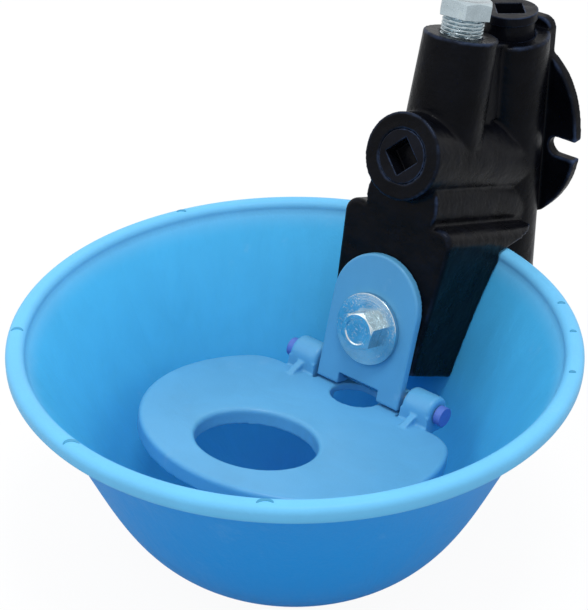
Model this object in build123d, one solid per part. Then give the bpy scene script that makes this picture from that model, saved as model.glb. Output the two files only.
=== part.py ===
from build123d import *
from math import cos, radians, sin
import os

# Livestock drinking bowl: a plastic bowl hung on a cast valve housing that bolts to a wall or post.
# The wall plane is y = 0 and the bowl stands in front of it, towards -Y. The origin is on the wall
# face, midway between the two open bolt slots. Lengths are in millimetres, angles in degrees.

# Layout
bowl_reach = 186.0          # wall face to bowl axis
rim_drop = 35.5             # bolt slot line to rim plane
plate_lean = 16.0           # hood front face, leaning back from vertical
passage_fall = 20.0         # cross bore, bridge and its band, falling towards the wall
valve_lean = 13.0           # valve axis, leaning back from vertical
paddle_tilt = 11.0          # paddle at rest, rising towards the front
hinge_from_axis = 55.8      # bowl axis to hinge pin, towards the wall
hinge_drop = 57.8           # rim plane to hinge pin
running = 0.05              # radial clearance of a shaft that turns or slides
seated = 0.02               # clearance of a part that sits tight in its bore

# Bowl
rim_radius = 135.0
rim_width = 9.0
rim_height = 9.0
rim_round = 3.4
bowl_wall = 4.0
rim_overhang = 5.0          # rim beyond the wall's outside
mouth_radius = rim_radius - rim_overhang
bowl_depth = 120.0
floor_radius = 30.0
wall_lead = (92.0, 60.0)    # control point that steers the upper wall: radius and drop
floor_lead = 98.0           # control point radius that steers the turn into the floor

# Screws that hold the bowl wall to the back of the hood
screw_angle = 8.4           # either side of the middle, about the bowl axis
screw_drop = 30.0           # rim plane to screw, where it passes the wall
screw_slope = 27.0          # screw axis, pointing down and outwards
screw_radius = 4.0
screw_length = 20.0
screw_head_across = 13.0
screw_head_height = 5.3
screw_washer_radius = 8.5
screw_washer_thickness = 1.6
screw_boss_radius = 8.0
screw_boss_depth = 9.0
pad_radius = 10.5
pad_height = 2.2

# Valve housing, the casting
housing_gap = 0.3           # casting to bowl wall
rim_clearance = 1.0         # casting over the rim
hood_face = 3.0             # hood front face ahead of the hinge pin
hood_foot_half = 25.5
hood_shoulder_half = 33.0
hood_height = 90.0          # hinge pin to shoulders, along the front face
hood_shoulder_round = 7.0
hood_edge_round = 2.5
hood_mouth_front = 13.5     # hinge pin to the front lower edge, along the front face
hood_mouth_slope = 28.0     # lower edge, falling towards the wall
hood_wall = 6.0
hood_back_wall = 5.0
cavity_height = 62.0        # hinge pin to the cavity's ceiling
passage_radius = 21.0       # rounded band under the cross bore
passage_drop = 23.3         # its axis below the cross bore's
boss_radius = 21.5          # cross bore boss with the access plug
boss_height = 120.3
boss_face = 11.0            # boss front face ahead of the hinge pin
column_radius = 22.0        # supply column
column_draft = 0.8
column_top = 97.8           # above the rim plane
column_foot = -38.0
column_axis = bowl_reach - column_radius
valve_column_radius = 18.4
valve_column_spread = 1.8   # growth in radius down to the cross bore
valve_top = (123.0, 109.7)  # top of the valve column: from bowl axis, above rim
web_half = 10.0
web_top = (106.0, 95.0)     # web between the columns: height at the valve column, at the supply column
bridge_end = 158.0          # bowl axis to the end of the bridge over the rim

# Wall flange of the casting
flange_thickness = 6.0
flange_tab_half = 14.5      # narrow top tab
flange_tab_top = 67.5       # above the slot line
flange_tab_root = 49.0
flange_half = 35.0
flange_shoulder = 36.0      # steers the curve of the upper wings
flange_hip = -23.0          # steers the curve of the lower wings
flange_foot = -40.0
flange_foot_half = 17.0
slot_width = 10.5
slot_inner = 19.0           # middle to the closed end of each slot

# Bores of the casting
thread_radius = 13.22       # three-quarter inch pipe thread
port_radius = 12.06         # open supply port, thread core
port_depth = 18.0
supply_bore = 10.0
cross_bore = 9.0
inlet_thread_depth = 16.0
access_thread_depth = 14.0
valve_bore = 9.9
regulator_radius = 10.48    # half inch pipe thread
regulator_bore_depth = 36.0
outlet_bore = 7.5

# Valve parts, placed by their distance below the top of the valve column
seat_top = 76.0
seat_length = 8.5
seat_bore = 5.5
seat_lip = 1.0
seat_seal_thickness = 1.5
disc_radius = 8.0
disc_thickness = 3.0
stem_radius = 2.5
stem_head = 2.0
stem_rise = 16.0            # stem above its head, inside the spring
stem_end = 163.0
disc_nut_across = 8.0
disc_nut_height = 3.0
foot_radius = 4.5
foot_top = 159.0
foot_end = 170.6
guide_top = 109.0
guide_thickness = 6.0
guide_slots = 3
spring_radius = 5.6
spring_wire = 1.3
spring_coils = 7.5
regulator_out = 9.0         # how far the regulator stands out of the column
regulator_hex_across = 24.0
regulator_turn = 4.6        # of the hexagon, about the valve axis
regulator_hex_height = 8.6
regulator_reach = 24.0
regulator_pocket_top = 8.0
regulator_pocket_radius = 6.6
o_ring_wire = 2.4

# Plugs with a square socket
socket_square = 13.6
socket_depth = 9.0
plug_wall = 1.5
inlet_plug_stand = 12.7
inlet_plug_turn = 42.0
collar_radius = 14.2
collar_height = 4.6
plug_seal_thickness = 1.6
access_plug_turn = 45.0

# Strainer in the cross bore
strainer_length = 26.0
strainer_wall = 0.8
strainer_slots = 8
strainer_slot_width = 2.0
strainer_collar = 2.0

# Hinge bracket
bracket_thickness = 4.5
bracket_half = 26.0
bracket_arc_height = 42.5   # centre of its round top above the hinge pin
bracket_bolt_height = 30.2
knuckle_radius = 5.0
notch_half = 12.5
notch_top = 1.2
bolt_radius = 6.0
bolt_length = 16.0
bolt_head_across = 18.0
bolt_turn = 22.0
bolt_head_height = 7.5
bolt_crown = 0.4            # round pad on top of the head
bolt_boss_radius = 10.0
bolt_boss_depth = 6.0
washer_radius = 18.3
washer_thickness = 3.0

# Hinge pin
pin_radius = 3.0
pin_half = 48.0
cap_radius = 5.0
cap_length = 4.0
cap_wall = 1.6

# Paddle
paddle_radius = 75.8
paddle_top_drop = 5.8       # hinge pin to the paddle's top face
paddle_plate = 4.0
paddle_skirt = 8.5
paddle_skirt_wall = 3.2
paddle_edge_round = 2.2
paddle_back = 8.0           # hinge pin to the straight back edge
paddle_corner = 20.0
hole_radius = 29.6
hole_distance = 83.7
hole_lip = 3.0
jet_hole_radius = 13.0
jet_hole_distance = 7.5
lug_inner = 28.0
lug_outer = 45.0
lug_radius = 8.5
lug_round = 2.5
gusset_thickness = 4.0
gusset_length = 9.5
gusset_height = 9.5
web_reach = 10.0
arm_half = 8.5
arm_thickness = 5.0
nose_radius = 4.0
nose_gap = 0.15


def passage_plane():
    """Plane of the cross bore boss's face: x across, z out along the bore."""
    fall = radians(passage_fall)
    origin = hinge_plane().from_local_coords(Vector(0, boss_height, boss_face))
    return Plane(origin=origin, x_dir=(1, 0, 0), z_dir=(0, -cos(fall), sin(fall)))


def passage_depth(distance, height=0.0):
    """Depth behind the boss's face, along the bore, of a place at this distance from the bowl axis."""
    fall = radians(passage_fall)
    start = passage_plane().origin.Y + bowl_reach
    return (distance - start - height * sin(fall)) / cos(fall)


def passage_rod(radius, front, back, height=0.0):
    """Cylinder along the cross bore, between two distances ahead of the boss's face."""
    return extrude(passage_plane() * Pos(0, height, back) * Circle(radius), amount=front - back)


def passage_ring(outer, inner, front, back):
    return passage_rod(outer, front, back) - passage_rod(inner, front + 1, back - 1)


def bowl_place(shape):
    """Moves a shape made about the rim's centre to the bowl's place."""
    return Pos(0, -bowl_reach, -rim_drop) * shape


def hinge_plane():
    """Plane of the hood's front face: x across, y up along the face, z out of it, at the hinge pin."""
    lean = radians(plate_lean)
    origin = (0, hinge_from_axis - bowl_reach, -hinge_drop - rim_drop)
    return Plane(origin=origin, x_dir=(1, 0, 0), z_dir=(0, -cos(lean), sin(lean)))


def valve_plane(below=0.0):
    """Plane across the valve axis, this far below the top of the valve column."""
    lean = radians(valve_lean)
    along = (0, sin(lean), cos(lean))
    origin = (0, valve_top[0] - bowl_reach - below * along[1], valve_top[1] - rim_drop - below * along[2])
    return Plane(origin=origin, x_dir=(1, 0, 0), z_dir=along)


def paddle_plane():
    """Plane of the paddle at the hinge pin: x to the left, y forwards along the paddle, z up."""
    tilt = radians(paddle_tilt)
    return Plane(origin=hinge_plane().origin, x_dir=(-1, 0, 0), z_dir=(0, sin(tilt), cos(tilt)))


def valve_rod(radius, top, bottom):
    """Cylinder on the valve axis between two distances below the column's top."""
    return extrude(valve_plane(bottom) * Circle(radius), amount=bottom - top)


def valve_ring(outer, inner, top, bottom):
    return valve_rod(outer, top, bottom) - valve_rod(inner, top - 1, bottom + 1)


def face_rod(radius, height, front, back):
    """Cylinder square to the hood's face, between two distances ahead of the hinge pin."""
    return extrude(hinge_plane() * Pos(0, height, back) * Circle(radius), amount=front - back)


def face_ring(outer, inner, height, front, back):
    return face_rod(outer, height, front, back) - face_rod(inner, height, front + 1, back - 1)


def wall_curve(inset):
    """Half profile of the bowl's wall, from mouth to floor, moved in by inset."""
    points = [
        (mouth_radius - inset, -rim_height / 2),
        (wall_lead[0] - inset, inset / 2 - wall_lead[1]),
        (floor_lead - inset, inset - bowl_depth),
        (floor_radius, inset - bowl_depth),
    ]
    return Bezier(*points)


def bowl_filling(inset):
    """Solid that fills the bowl up to the foot of its rim bead, inset from the wall's outside."""
    curve = wall_curve(inset)
    mouth, floor = curve @ 0, curve @ 1
    edges = [
        Line((0, mouth.Y), (mouth.X, mouth.Y)),
        curve,
        Line((floor.X, floor.Y), (0, floor.Y)),
        Line((0, floor.Y), (0, mouth.Y)),
    ]
    return bowl_place(revolve(Plane.XZ * make_face(edges), Axis.Z))


def bowl_space(inset, top):
    """The same filling, carried straight up to this height over the rim plane."""
    foot = -rim_height / 2
    collar = Pos(0, 0, (top + foot) / 2) * Cylinder(mouth_radius - inset, top - foot)
    return bowl_filling(inset) + bowl_place(collar)


def screw_plane(side):
    """Plane on the bowl's outside at a bowl screw, its z pointing out along the screw."""
    slope = radians(screw_slope)
    wall = wall_curve(0) & Line((0, -screw_drop), (rim_radius, -screw_drop))
    radius = wall.X if isinstance(wall, Vector) else wall.vertices()[0].X
    turn = radians(screw_angle) * side
    out = (sin(turn) * cos(slope), cos(turn) * cos(slope), -sin(slope))
    origin = (radius * sin(turn), radius * cos(turn) - bowl_reach, -screw_drop - rim_drop)
    return Plane(origin=origin, x_dir=(cos(turn), -sin(turn), 0), z_dir=out)


def screw_rod(side, radius, start, end):
    """Cylinder on a bowl screw's axis, from start to end along it, zero at the bowl's outside."""
    return extrude(screw_plane(side) * Pos(0, 0, start) * Circle(radius), amount=end - start)


def bowl():
    outer = bowl_filling(0)
    inner = bowl_space(bowl_wall, rim_clearance)
    rim_middle = rim_radius - rim_width / 2
    section = Plane.XZ * Pos(rim_middle, -rim_height / 2) * RectangleRounded(rim_width, rim_height, rim_round)
    body = outer + bowl_place(revolve(section, Axis.Z))
    for side in (-1, 1):
        body += screw_rod(side, pad_radius, -bowl_wall / 2, pad_height)
    body -= inner
    for side in (-1, 1):
        body -= screw_rod(side, screw_radius + seated, -2 * bowl_wall, 2 * pad_height)
    return body


def front_outline():
    """Outline of the hood's front face, from its foot to the shoulders."""
    corners = [
        (-hood_foot_half, 0),
        (hood_foot_half, 0),
        (hood_shoulder_half, hood_height),
        (-hood_shoulder_half, hood_height),
    ]
    outline = make_face(Polyline(*corners, close=True))
    return fillet(outline.vertices().group_by(Axis.Y)[-1], hood_shoulder_round)


def face_depth(height, distance):
    """Depth behind the hinge pin, square to the hood's face, of a place this high up the face and
    at this distance from the bowl axis."""
    lean = radians(plate_lean)
    return (distance - hinge_from_axis - height * sin(lean)) / cos(lean)


def hood_block():
    """Hood inside the bowl and the bridge over its rim, in one run back from the front face."""
    fall = radians(passage_fall)
    length = hood_face + face_depth(hood_height, bridge_end)
    face = hinge_plane() * Pos(0, 0, hood_face) * front_outline()
    block = extrude(face, amount=length, dir=(0, cos(fall), -sin(fall)))
    front = block.faces().sort_by(Axis(hinge_plane().origin, hinge_plane().z_dir))[-1]
    block = fillet(front.edges(), hood_edge_round)
    lean = radians(plate_lean)
    lip = hinge_plane().from_local_coords(Vector(0, hood_mouth_front, hood_face))
    slope = radians(hood_mouth_slope)
    mouth = Plane(origin=lip, x_dir=(1, 0, 0), z_dir=(0, sin(slope), cos(slope)))
    below = extrude(mouth * Rectangle(4 * rim_radius, 4 * rim_radius), amount=-2 * rim_radius * cos(lean))
    return block - below


def passage_band():
    """Rounded band under the cross bore, flush with the hood's front face."""
    back = passage_depth(bridge_end, -passage_drop)
    band = passage_rod(passage_radius, hood_face, -back, -passage_drop)
    return split(band, bisect_by=hinge_plane().offset(hood_face), keep=Keep.BOTTOM)


def bowl_clearance():
    """Room that the casting leaves for the bowl: all outside its inner wall, up to just over the rim."""
    span = rim_radius + bowl_reach
    height = bowl_depth + rim_height + rim_clearance
    top = rim_clearance
    room = bowl_place(Pos(0, 0, top - height / 2) * Cylinder(span, height))
    return room - bowl_space(bowl_wall + housing_gap, 2 * top)


def supply_column():
    height = column_top - column_foot
    place = Pos(0, -column_radius, (column_top + column_foot) / 2 - rim_drop)
    return place * Cone(column_radius, column_radius - column_draft, height)


def valve_column():
    """Tapered column round the valve bore, down to the cross bore's axis."""
    foot = cross_level()
    wide = valve_plane(foot) * Circle(valve_column_radius + valve_column_spread)
    narrow = valve_plane(0) * Circle(valve_column_radius)
    return loft([wide, narrow])


def cross_level():
    """Distance below the valve column's top where the cross bore's axis meets the valve axis."""
    top = passage_plane().to_local_coords(valve_plane(0).origin)
    below = passage_plane().to_local_coords(valve_plane(1).origin)
    return top.Y / (top.Y - below.Y)


def column_web():
    """Web that joins the two columns above the cross bore."""
    front = valve_top[0] - bowl_reach
    floor = boss_height / 2 - rim_drop
    corners = [
        (front, web_top[0] - rim_drop),
        (-column_radius, web_top[1] - rim_drop),
        (-column_radius, floor),
        (front - valve_column_radius / 2, floor),
    ]
    profile = Plane.YZ * make_face(Polyline(*corners, close=True))
    return extrude(profile, amount=web_half, both=True)


def flange():
    """Wall flange: a narrow tab on top, two rounded wings and a foot that narrows to the column."""
    right = [
        Line((flange_tab_half, flange_tab_top), (flange_tab_half, flange_tab_root)),
        Bezier((flange_tab_half, flange_tab_root), (flange_half, flange_shoulder), (flange_half, 0)),
        Bezier((flange_half, 0), (flange_half, flange_hip), (flange_foot_half, flange_foot)),
    ]
    left = [mirror(edge, about=Plane.YZ) for edge in right]
    ends = [
        Line((-flange_tab_half, flange_tab_top), (flange_tab_half, flange_tab_top)),
        Line((-flange_foot_half, flange_foot), (flange_foot_half, flange_foot)),
    ]
    outline = make_face(right + left + ends)
    outline = fillet(outline.vertices().group_by(Axis.Y)[-1], flange_thickness)
    for side in (-1, 1):
        middle = side * (slot_inner + slot_width / 2)
        outline -= Pos(middle, 0) * Circle(slot_width / 2)
        outline -= Pos(middle + side * flange_half / 2, 0) * Rectangle(flange_half, slot_width)
    return extrude(Plane.XZ * outline, amount=flange_thickness)


def hood_cavity():
    """Hollow of the hood, open below, with walls of even thickness to the front, sides and bowl."""
    taper = (hood_shoulder_half - hood_foot_half) / hood_height
    foot = hood_foot_half - hood_wall
    corners = [
        (-foot, 0),
        (foot, 0),
        (foot + taper * cavity_height, cavity_height),
        (-foot - taper * cavity_height, cavity_height),
    ]
    outline = make_face(Polyline(*corners, close=True))
    outline = fillet(outline.vertices().group_by(Axis.Y)[-1], hood_edge_round)
    hollow = extrude(hinge_plane() * Pos(0, 0, hood_face - hood_wall) * outline, amount=-rim_radius)
    return hollow & bowl_space(bowl_wall + housing_gap + hood_back_wall, rim_clearance)


def housing_bores():
    """Water ways and threads of the casting."""
    supply = Pos(0, -column_radius, (column_top + column_foot) / 2 - rim_drop)
    upright = supply * Cylinder(supply_bore, 2 * (column_top - column_foot))
    inlet = Pos(0, -column_radius, column_top - rim_drop) * Cylinder(thread_radius, 2 * inlet_thread_depth)
    port = Pos(0, -column_radius, column_foot - rim_drop) * Cylinder(port_radius, 2 * port_depth)
    cross = passage_rod(cross_bore, 0, -passage_depth(column_axis))
    access = passage_rod(thread_radius, 1, -access_thread_depth)
    chamber = valve_rod(valve_bore, -1, seat_top + seat_length + seat_seal_thickness)
    regulator = valve_rod(regulator_radius, -1, regulator_bore_depth)
    outlet = valve_rod(outlet_bore, seat_top, guide_top + guide_thickness)
    drain = valve_rod(outlet_bore - seat_lip, guide_top, foot_end)
    bracket_thread = face_rod(bolt_radius, bracket_bolt_height, hood_face + 1, -hood_wall - bolt_boss_depth)
    return [upright, inlet, port, cross, access, chamber, regulator, outlet, drain, bracket_thread]


def valve_housing():
    body = hood_block()
    body += passage_band()
    body += passage_rod(boss_radius, 0, -passage_depth(column_axis))
    body -= bowl_clearance()
    body += supply_column()
    body += valve_column()
    body += column_web()
    body += flange()
    body -= hood_cavity()
    inner = hood_face - hood_wall
    body += face_rod(bolt_boss_radius, bracket_bolt_height, inner + 1, inner - bolt_boss_depth)
    room = bowl_space(bowl_wall + housing_gap, rim_clearance)
    wall_start = -bowl_wall - housing_gap
    for side in (-1, 1):
        body += screw_rod(side, screw_boss_radius, wall_start - screw_boss_depth, wall_start + 2) & room
    for bore in housing_bores():
        body -= bore
    for side in (-1, 1):
        body -= screw_rod(side, screw_radius, screw_washer_thickness + pad_height - screw_length - 1, 0)
    return body


def hex_prism(across, height, turn=0.0):
    return extrude(RegularPolygon(across / 2, 6, major_radius=False, rotation=turn), amount=height)


def bowl_screws():
    """Hexagon screws through the bowl's wall into the back of the hood."""
    under_head = pad_height + screw_washer_thickness
    screws = []
    for side in (-1, 1):
        shank = screw_rod(side, screw_radius - seated, under_head - screw_length, under_head)
        head = screw_plane(side) * Pos(0, 0, under_head) * hex_prism(screw_head_across, screw_head_height)
        screws.append(shank + head)
    return Compound(screws)


def bowl_screw_washers():
    washers = []
    for side in (-1, 1):
        disc = screw_rod(side, screw_washer_radius, pad_height, pad_height + screw_washer_thickness)
        washers.append(disc - screw_rod(side, screw_radius + running, 0, 3 * pad_height))
    return Compound(washers)


def hinge_bracket():
    """Round-topped plate with two knuckles for the hinge pin and a notch between them."""
    outline = Pos(0, bracket_arc_height / 2) * Rectangle(2 * bracket_half, bracket_arc_height)
    outline += Pos(0, bracket_arc_height) * Circle(bracket_half)
    outline += Pos(0, -knuckle_radius / 2) * Rectangle(2 * bracket_half, knuckle_radius)
    plate = extrude(hinge_plane() * Pos(0, 0, hood_face) * outline, amount=bracket_thickness)
    front = plate.faces().sort_by(Axis(hinge_plane().origin, hinge_plane().z_dir))[-1]
    plate = fillet(front.edges(), bracket_thickness / 4)
    knuckle = hinge_plane() * (Rot(0, 90, 0) * Cylinder(knuckle_radius, 2 * bracket_half))
    neck = Pos(0, 0, hood_face / 2) * Box(2 * bracket_half, 2 * knuckle_radius, hood_face)
    body = plate + knuckle + hinge_plane() * neck
    notch_height = notch_top + 2 * knuckle_radius
    notch = Pos(0, notch_top - notch_height / 2, 0) * Box(2 * notch_half, notch_height, 4 * knuckle_radius)
    upper = Pos(0, knuckle_radius, 0) * Box(2 * notch_half, 2 * knuckle_radius, 2 * hood_face)
    body -= hinge_plane() * notch
    body -= hinge_plane() * upper
    body -= hinge_plane() * (Rot(0, 90, 0) * Cylinder(pin_radius + seated, 3 * bracket_half))
    body -= face_rod(bolt_radius + running, bracket_bolt_height, 2 * hood_wall, -hood_wall)
    return body


def bracket_washer():
    back = hood_face + bracket_thickness
    return face_ring(washer_radius, bolt_radius + running, bracket_bolt_height, back + washer_thickness, back)


def bracket_bolt():
    under_head = hood_face + bracket_thickness + washer_thickness
    end = under_head - bolt_length - washer_thickness
    crown_top = under_head + bolt_head_height + bolt_crown
    shank = face_rod(bolt_radius - seated, bracket_bolt_height, under_head, end)
    head = hex_prism(bolt_head_across, bolt_head_height, bolt_turn)
    head = hinge_plane() * Pos(0, bracket_bolt_height, under_head) * head
    return shank + head + face_rod(bolt_head_across / 2, bracket_bolt_height, crown_top, under_head)


def hinge_pin():
    return hinge_plane() * (Rot(0, 90, 0) * Cylinder(pin_radius, 2 * pin_half))


def hinge_pin_caps():
    """Push-on caps that keep the pin from sliding out."""
    caps = []
    for side in (-1, 1):
        start = pin_half + cap_wall - cap_length
        cap = Pos(side * (start + cap_length / 2), 0, 0) * Rot(0, 90, 0) * Cylinder(cap_radius, cap_length)
        cap = hinge_plane() * cap - hinge_pin()
        caps.append(cap)
    return Compound(caps)


def paddle_outline():
    """Plan of the paddle: a disc that follows the bowl, cut straight along the hinge."""
    disc = Pos(0, hinge_from_axis) * Circle(paddle_radius)
    half = Pos(0, paddle_back + paddle_radius) * Rectangle(3 * paddle_radius, 2 * paddle_radius)
    cut = disc & half
    return fillet(cut.vertices().group_by(Axis.Y)[0], paddle_corner)


def nose_centre():
    """Centre of the arm's nose under the stem's foot, in the paddle's plane: forwards and up."""
    touch = valve_plane(foot_end + nose_gap + nose_radius).origin
    local = paddle_plane().to_local_coords(touch)
    return local.Y, local.Z


def paddle_arm():
    """Arm behind the hinge, running under the pin and up to a round nose below the stem."""
    nose_y, nose_z = nose_centre()
    low = -paddle_top_drop - paddle_plate / 2
    run = Vector(nose_y + web_reach, nose_z - low)
    across = Vector(-run.Y, run.X) * (arm_thickness / 2 / run.length)
    start = Vector(-web_reach, low)
    tip = Vector(nose_y, nose_z)
    corners = [start + across, start - across, tip - across, tip + across]
    side = make_face(Polyline(*[(v.X, v.Y) for v in corners], close=True))
    side += Pos(nose_y, nose_z) * Circle(nose_radius)
    side += Pos(-web_reach, low) * Circle(arm_thickness / 2)
    upright = Plane(origin=(0, 0, 0), x_dir=(0, 1, 0), z_dir=(1, 0, 0))
    return extrude(upright * side, amount=arm_half, both=True)


def paddle_lugs():
    """Arched lugs for the hinge pin, each with a gusset in front."""
    width = lug_outer - lug_inner
    middle = (lug_outer + lug_inner) / 2
    bottom = -paddle_top_drop - paddle_plate
    lugs = []
    for side in (-1, 1):
        eye = Cylinder(lug_radius, width)
        eye = fillet(eye.edges().filter_by(GeomType.CIRCLE), lug_round)
        eye = Pos(side * middle, 0, 0) * Rot(0, 90, 0) * eye
        root = Pos(side * middle, 0, bottom / 2) * Box(width, 2 * lug_radius, -bottom)
        base_length = paddle_back + lug_radius + paddle_skirt_wall
        base_place = Pos(side * middle, base_length / 2 - lug_radius, bottom + paddle_plate / 2)
        base = base_place * Box(width, base_length, paddle_plate)
        corners = [
            (0, bottom + paddle_plate),
            (lug_radius + gusset_length, bottom + paddle_plate),
            (0, bottom + paddle_plate + gusset_height),
        ]
        rib = Plane(origin=(side * middle, 0, 0), x_dir=(0, 1, 0), z_dir=(1, 0, 0))
        side_face = rib * make_face(Polyline(*corners, close=True))
        gusset = extrude(side_face, amount=gusset_thickness / 2, both=True)
        lugs.append(eye + root + base + gusset)
    return lugs


def paddle():
    top = -paddle_top_drop
    outline = paddle_outline()
    body = extrude(Pos(0, 0, top - paddle_skirt) * outline, amount=paddle_skirt)
    body = fillet(body.faces().sort_by(Axis.Z)[-1].edges(), paddle_edge_round)
    inside = offset(outline, amount=-paddle_skirt_wall)
    body -= extrude(Pos(0, 0, top - paddle_skirt) * inside, amount=paddle_skirt - paddle_plate)
    collar = Pos(0, hole_distance) * Circle(hole_radius + hole_lip)
    body += extrude(Pos(0, 0, top - paddle_skirt) * collar, amount=paddle_skirt)
    hole = Pos(0, hole_distance) * Circle(hole_radius)
    body -= extrude(Pos(0, 0, top - 2 * paddle_skirt) * hole, amount=4 * paddle_skirt)
    lip = body.edges().filter_by(GeomType.CIRCLE).filter_by(lambda e: abs(e.radius - hole_radius) < 0.01)
    body = fillet(lip.sort_by(Axis.Z)[-1], paddle_edge_round)
    web_length = paddle_back + web_reach + paddle_skirt_wall
    web_place = Pos(0, web_length / 2 - web_reach, top - paddle_plate / 2)
    body += web_place * Box(2 * bracket_half, web_length, paddle_plate)
    body -= Pos(0, jet_hole_distance, top) * Cylinder(jet_hole_radius, 4 * paddle_skirt)
    body += paddle_arm()
    for lug in paddle_lugs():
        body += lug
    body -= Rot(0, 90, 0) * Cylinder(pin_radius + running, 3 * lug_outer)
    return paddle_plane() * body


def square_plug(length, collar):
    """Pipe plug with a square socket, its top at zero and its thread going down."""
    body = Pos(0, 0, -length / 2) * Cylinder(thread_radius - seated, length)
    if collar:
        body += Pos(0, 0, -collar_height / 2) * Cylinder(collar_radius, collar_height)
    socket = Pos(0, 0, -socket_depth / 2) * Box(socket_square, socket_square, socket_depth)
    return body - socket


def inlet_plug():
    length = inlet_plug_stand + inlet_thread_depth - plug_wall
    place = Pos(0, -column_radius, column_top + inlet_plug_stand - rim_drop)
    return place * Rot(0, 0, inlet_plug_turn) * square_plug(length, True)


def access_plug():
    length = access_thread_depth - plug_seal_thickness
    return passage_plane() * Rot(0, 0, access_plug_turn) * square_plug(length, False)


def access_plug_seal():
    back = -access_thread_depth
    return passage_ring(thread_radius - seated, cross_bore, back + plug_seal_thickness, back)


def valve_seat():
    body = valve_ring(valve_bore - seated, seat_bore, seat_top + seat_lip, seat_top + seat_length)
    return body + valve_ring(seat_bore + 2 * seat_lip, seat_bore, seat_top, seat_top + 2 * seat_lip)


def seat_seal():
    start = seat_top + seat_length
    return valve_ring(valve_bore - seated, outlet_bore, start, start + seat_seal_thickness)


def valve_stem():
    head_bottom = seat_top - disc_thickness
    rod = valve_rod(stem_radius, head_bottom - stem_head - stem_rise, stem_end)
    return rod + valve_rod(disc_radius, head_bottom - stem_head, head_bottom)


def valve_disc():
    return valve_ring(disc_radius, stem_radius + seated, seat_top - disc_thickness, seat_top)


def disc_nut():
    nut = valve_plane(seat_top + disc_nut_height) * hex_prism(disc_nut_across, disc_nut_height)
    return nut - valve_rod(stem_radius + seated, seat_top - 1, seat_top + 2 * disc_nut_height)


def stem_foot():
    body = valve_rod(foot_radius, foot_top, foot_end)
    return body - valve_rod(stem_radius + seated, foot_top - 1, stem_end)


def stem_guide():
    """Spider that centres the stem in the outlet and lets the water past."""
    body = valve_ring(outlet_bore - seated, stem_radius + running, guide_top, guide_top + guide_thickness)
    gap = outlet_bore - stem_radius - 2 * seat_lip
    middle = (outlet_bore + stem_radius) / 2
    for turn in range(guide_slots):
        slot = Pos(middle, 0, 0) * Cylinder(gap / 2, 4 * guide_thickness)
        body -= valve_plane(guide_top) * Rot(0, 0, 360 / guide_slots * turn) * slot
    return body


def return_spring():
    """Coil spring between the regulator's pocket and the stem's head."""
    top = regulator_pocket_top + spring_wire / 2
    bottom = seat_top - disc_thickness - stem_head - spring_wire / 2
    height = bottom - top
    path = Helix(pitch=height / spring_coils, height=height, radius=spring_radius)
    section = Plane(origin=path @ 0, z_dir=path % 0) * RegularPolygon(spring_wire / 2, 6)
    return valve_plane(bottom) * sweep(section, path=path, is_frenet=True)


def regulator_screw():
    """Hexagon screw that sets the spring's preload, standing part way out of the column."""
    head = hex_prism(regulator_hex_across, regulator_hex_height, regulator_turn)
    head = valve_plane(-regulator_out) * head
    thread = valve_rod(regulator_radius - running, -regulator_out, regulator_reach)
    groove_top = regulator_reach - 2 * o_ring_wire
    groove_floor = regulator_radius - o_ring_wire
    groove = valve_ring(regulator_radius + 1, groove_floor, groove_top, groove_top + o_ring_wire)
    pocket = valve_rod(regulator_pocket_radius, regulator_pocket_top, regulator_reach + 1)
    return head + thread - groove - pocket


def regulator_seal():
    groove_top = regulator_reach - 2 * o_ring_wire
    outer = regulator_radius - running
    return valve_ring(outer, regulator_radius - o_ring_wire, groove_top, groove_top + o_ring_wire)


def strainer():
    """Slotted sleeve in the cross bore, between the supply column and the valve chamber."""
    back = passage_depth(column_axis - supply_bore)
    start = -back + strainer_length
    sleeve = passage_ring(cross_bore - seated, cross_bore - strainer_wall, start, -back)
    slot_length = strainer_length - 4 * strainer_collar
    for turn in range(strainer_slots // 2):
        slot = Rot(0, 0, 360 / strainer_slots * turn) * Box(4 * cross_bore, strainer_slot_width, slot_length)
        sleeve -= passage_plane() * Pos(0, 0, start - strainer_length / 2) * slot
    return sleeve


PIECES = {
    "bowl": bowl,
    "valve_housing": valve_housing,
    "bowl_screws": bowl_screws,
    "bowl_screw_washers": bowl_screw_washers,
    "hinge_bracket": hinge_bracket,
    "bracket_washer": bracket_washer,
    "bracket_bolt": bracket_bolt,
    "hinge_pin": hinge_pin,
    "hinge_pin_caps": hinge_pin_caps,
    "paddle": paddle,
    "inlet_plug": inlet_plug,
    "access_plug": access_plug,
    "access_plug_seal": access_plug_seal,
    "valve_seat": valve_seat,
    "seat_seal": seat_seal,
    "valve_stem": valve_stem,
    "valve_disc": valve_disc,
    "disc_nut": disc_nut,
    "stem_foot": stem_foot,
    "stem_guide": stem_guide,
    "return_spring": return_spring,
    "regulator_screw": regulator_screw,
    "regulator_seal": regulator_seal,
    "strainer": strainer,
}

os.makedirs("parts", exist_ok=True)
for name, make in PIECES.items():
    export_step(make(), f"parts/{name}.step")
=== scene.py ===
"""Livestock drinking bowl: finishes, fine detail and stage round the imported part.

Laid out as an add-on and run as a script. Lengths are in metres, in the part's own frame: the wall is
the plane y = 0, the bowl stands out towards -Y and +Z is up.
"""
import math

import bmesh
import bpy
import numpy as np
from bpy.props import FloatProperty, FloatVectorProperty, IntProperty, PointerProperty
from mathutils import Matrix, Vector


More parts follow.
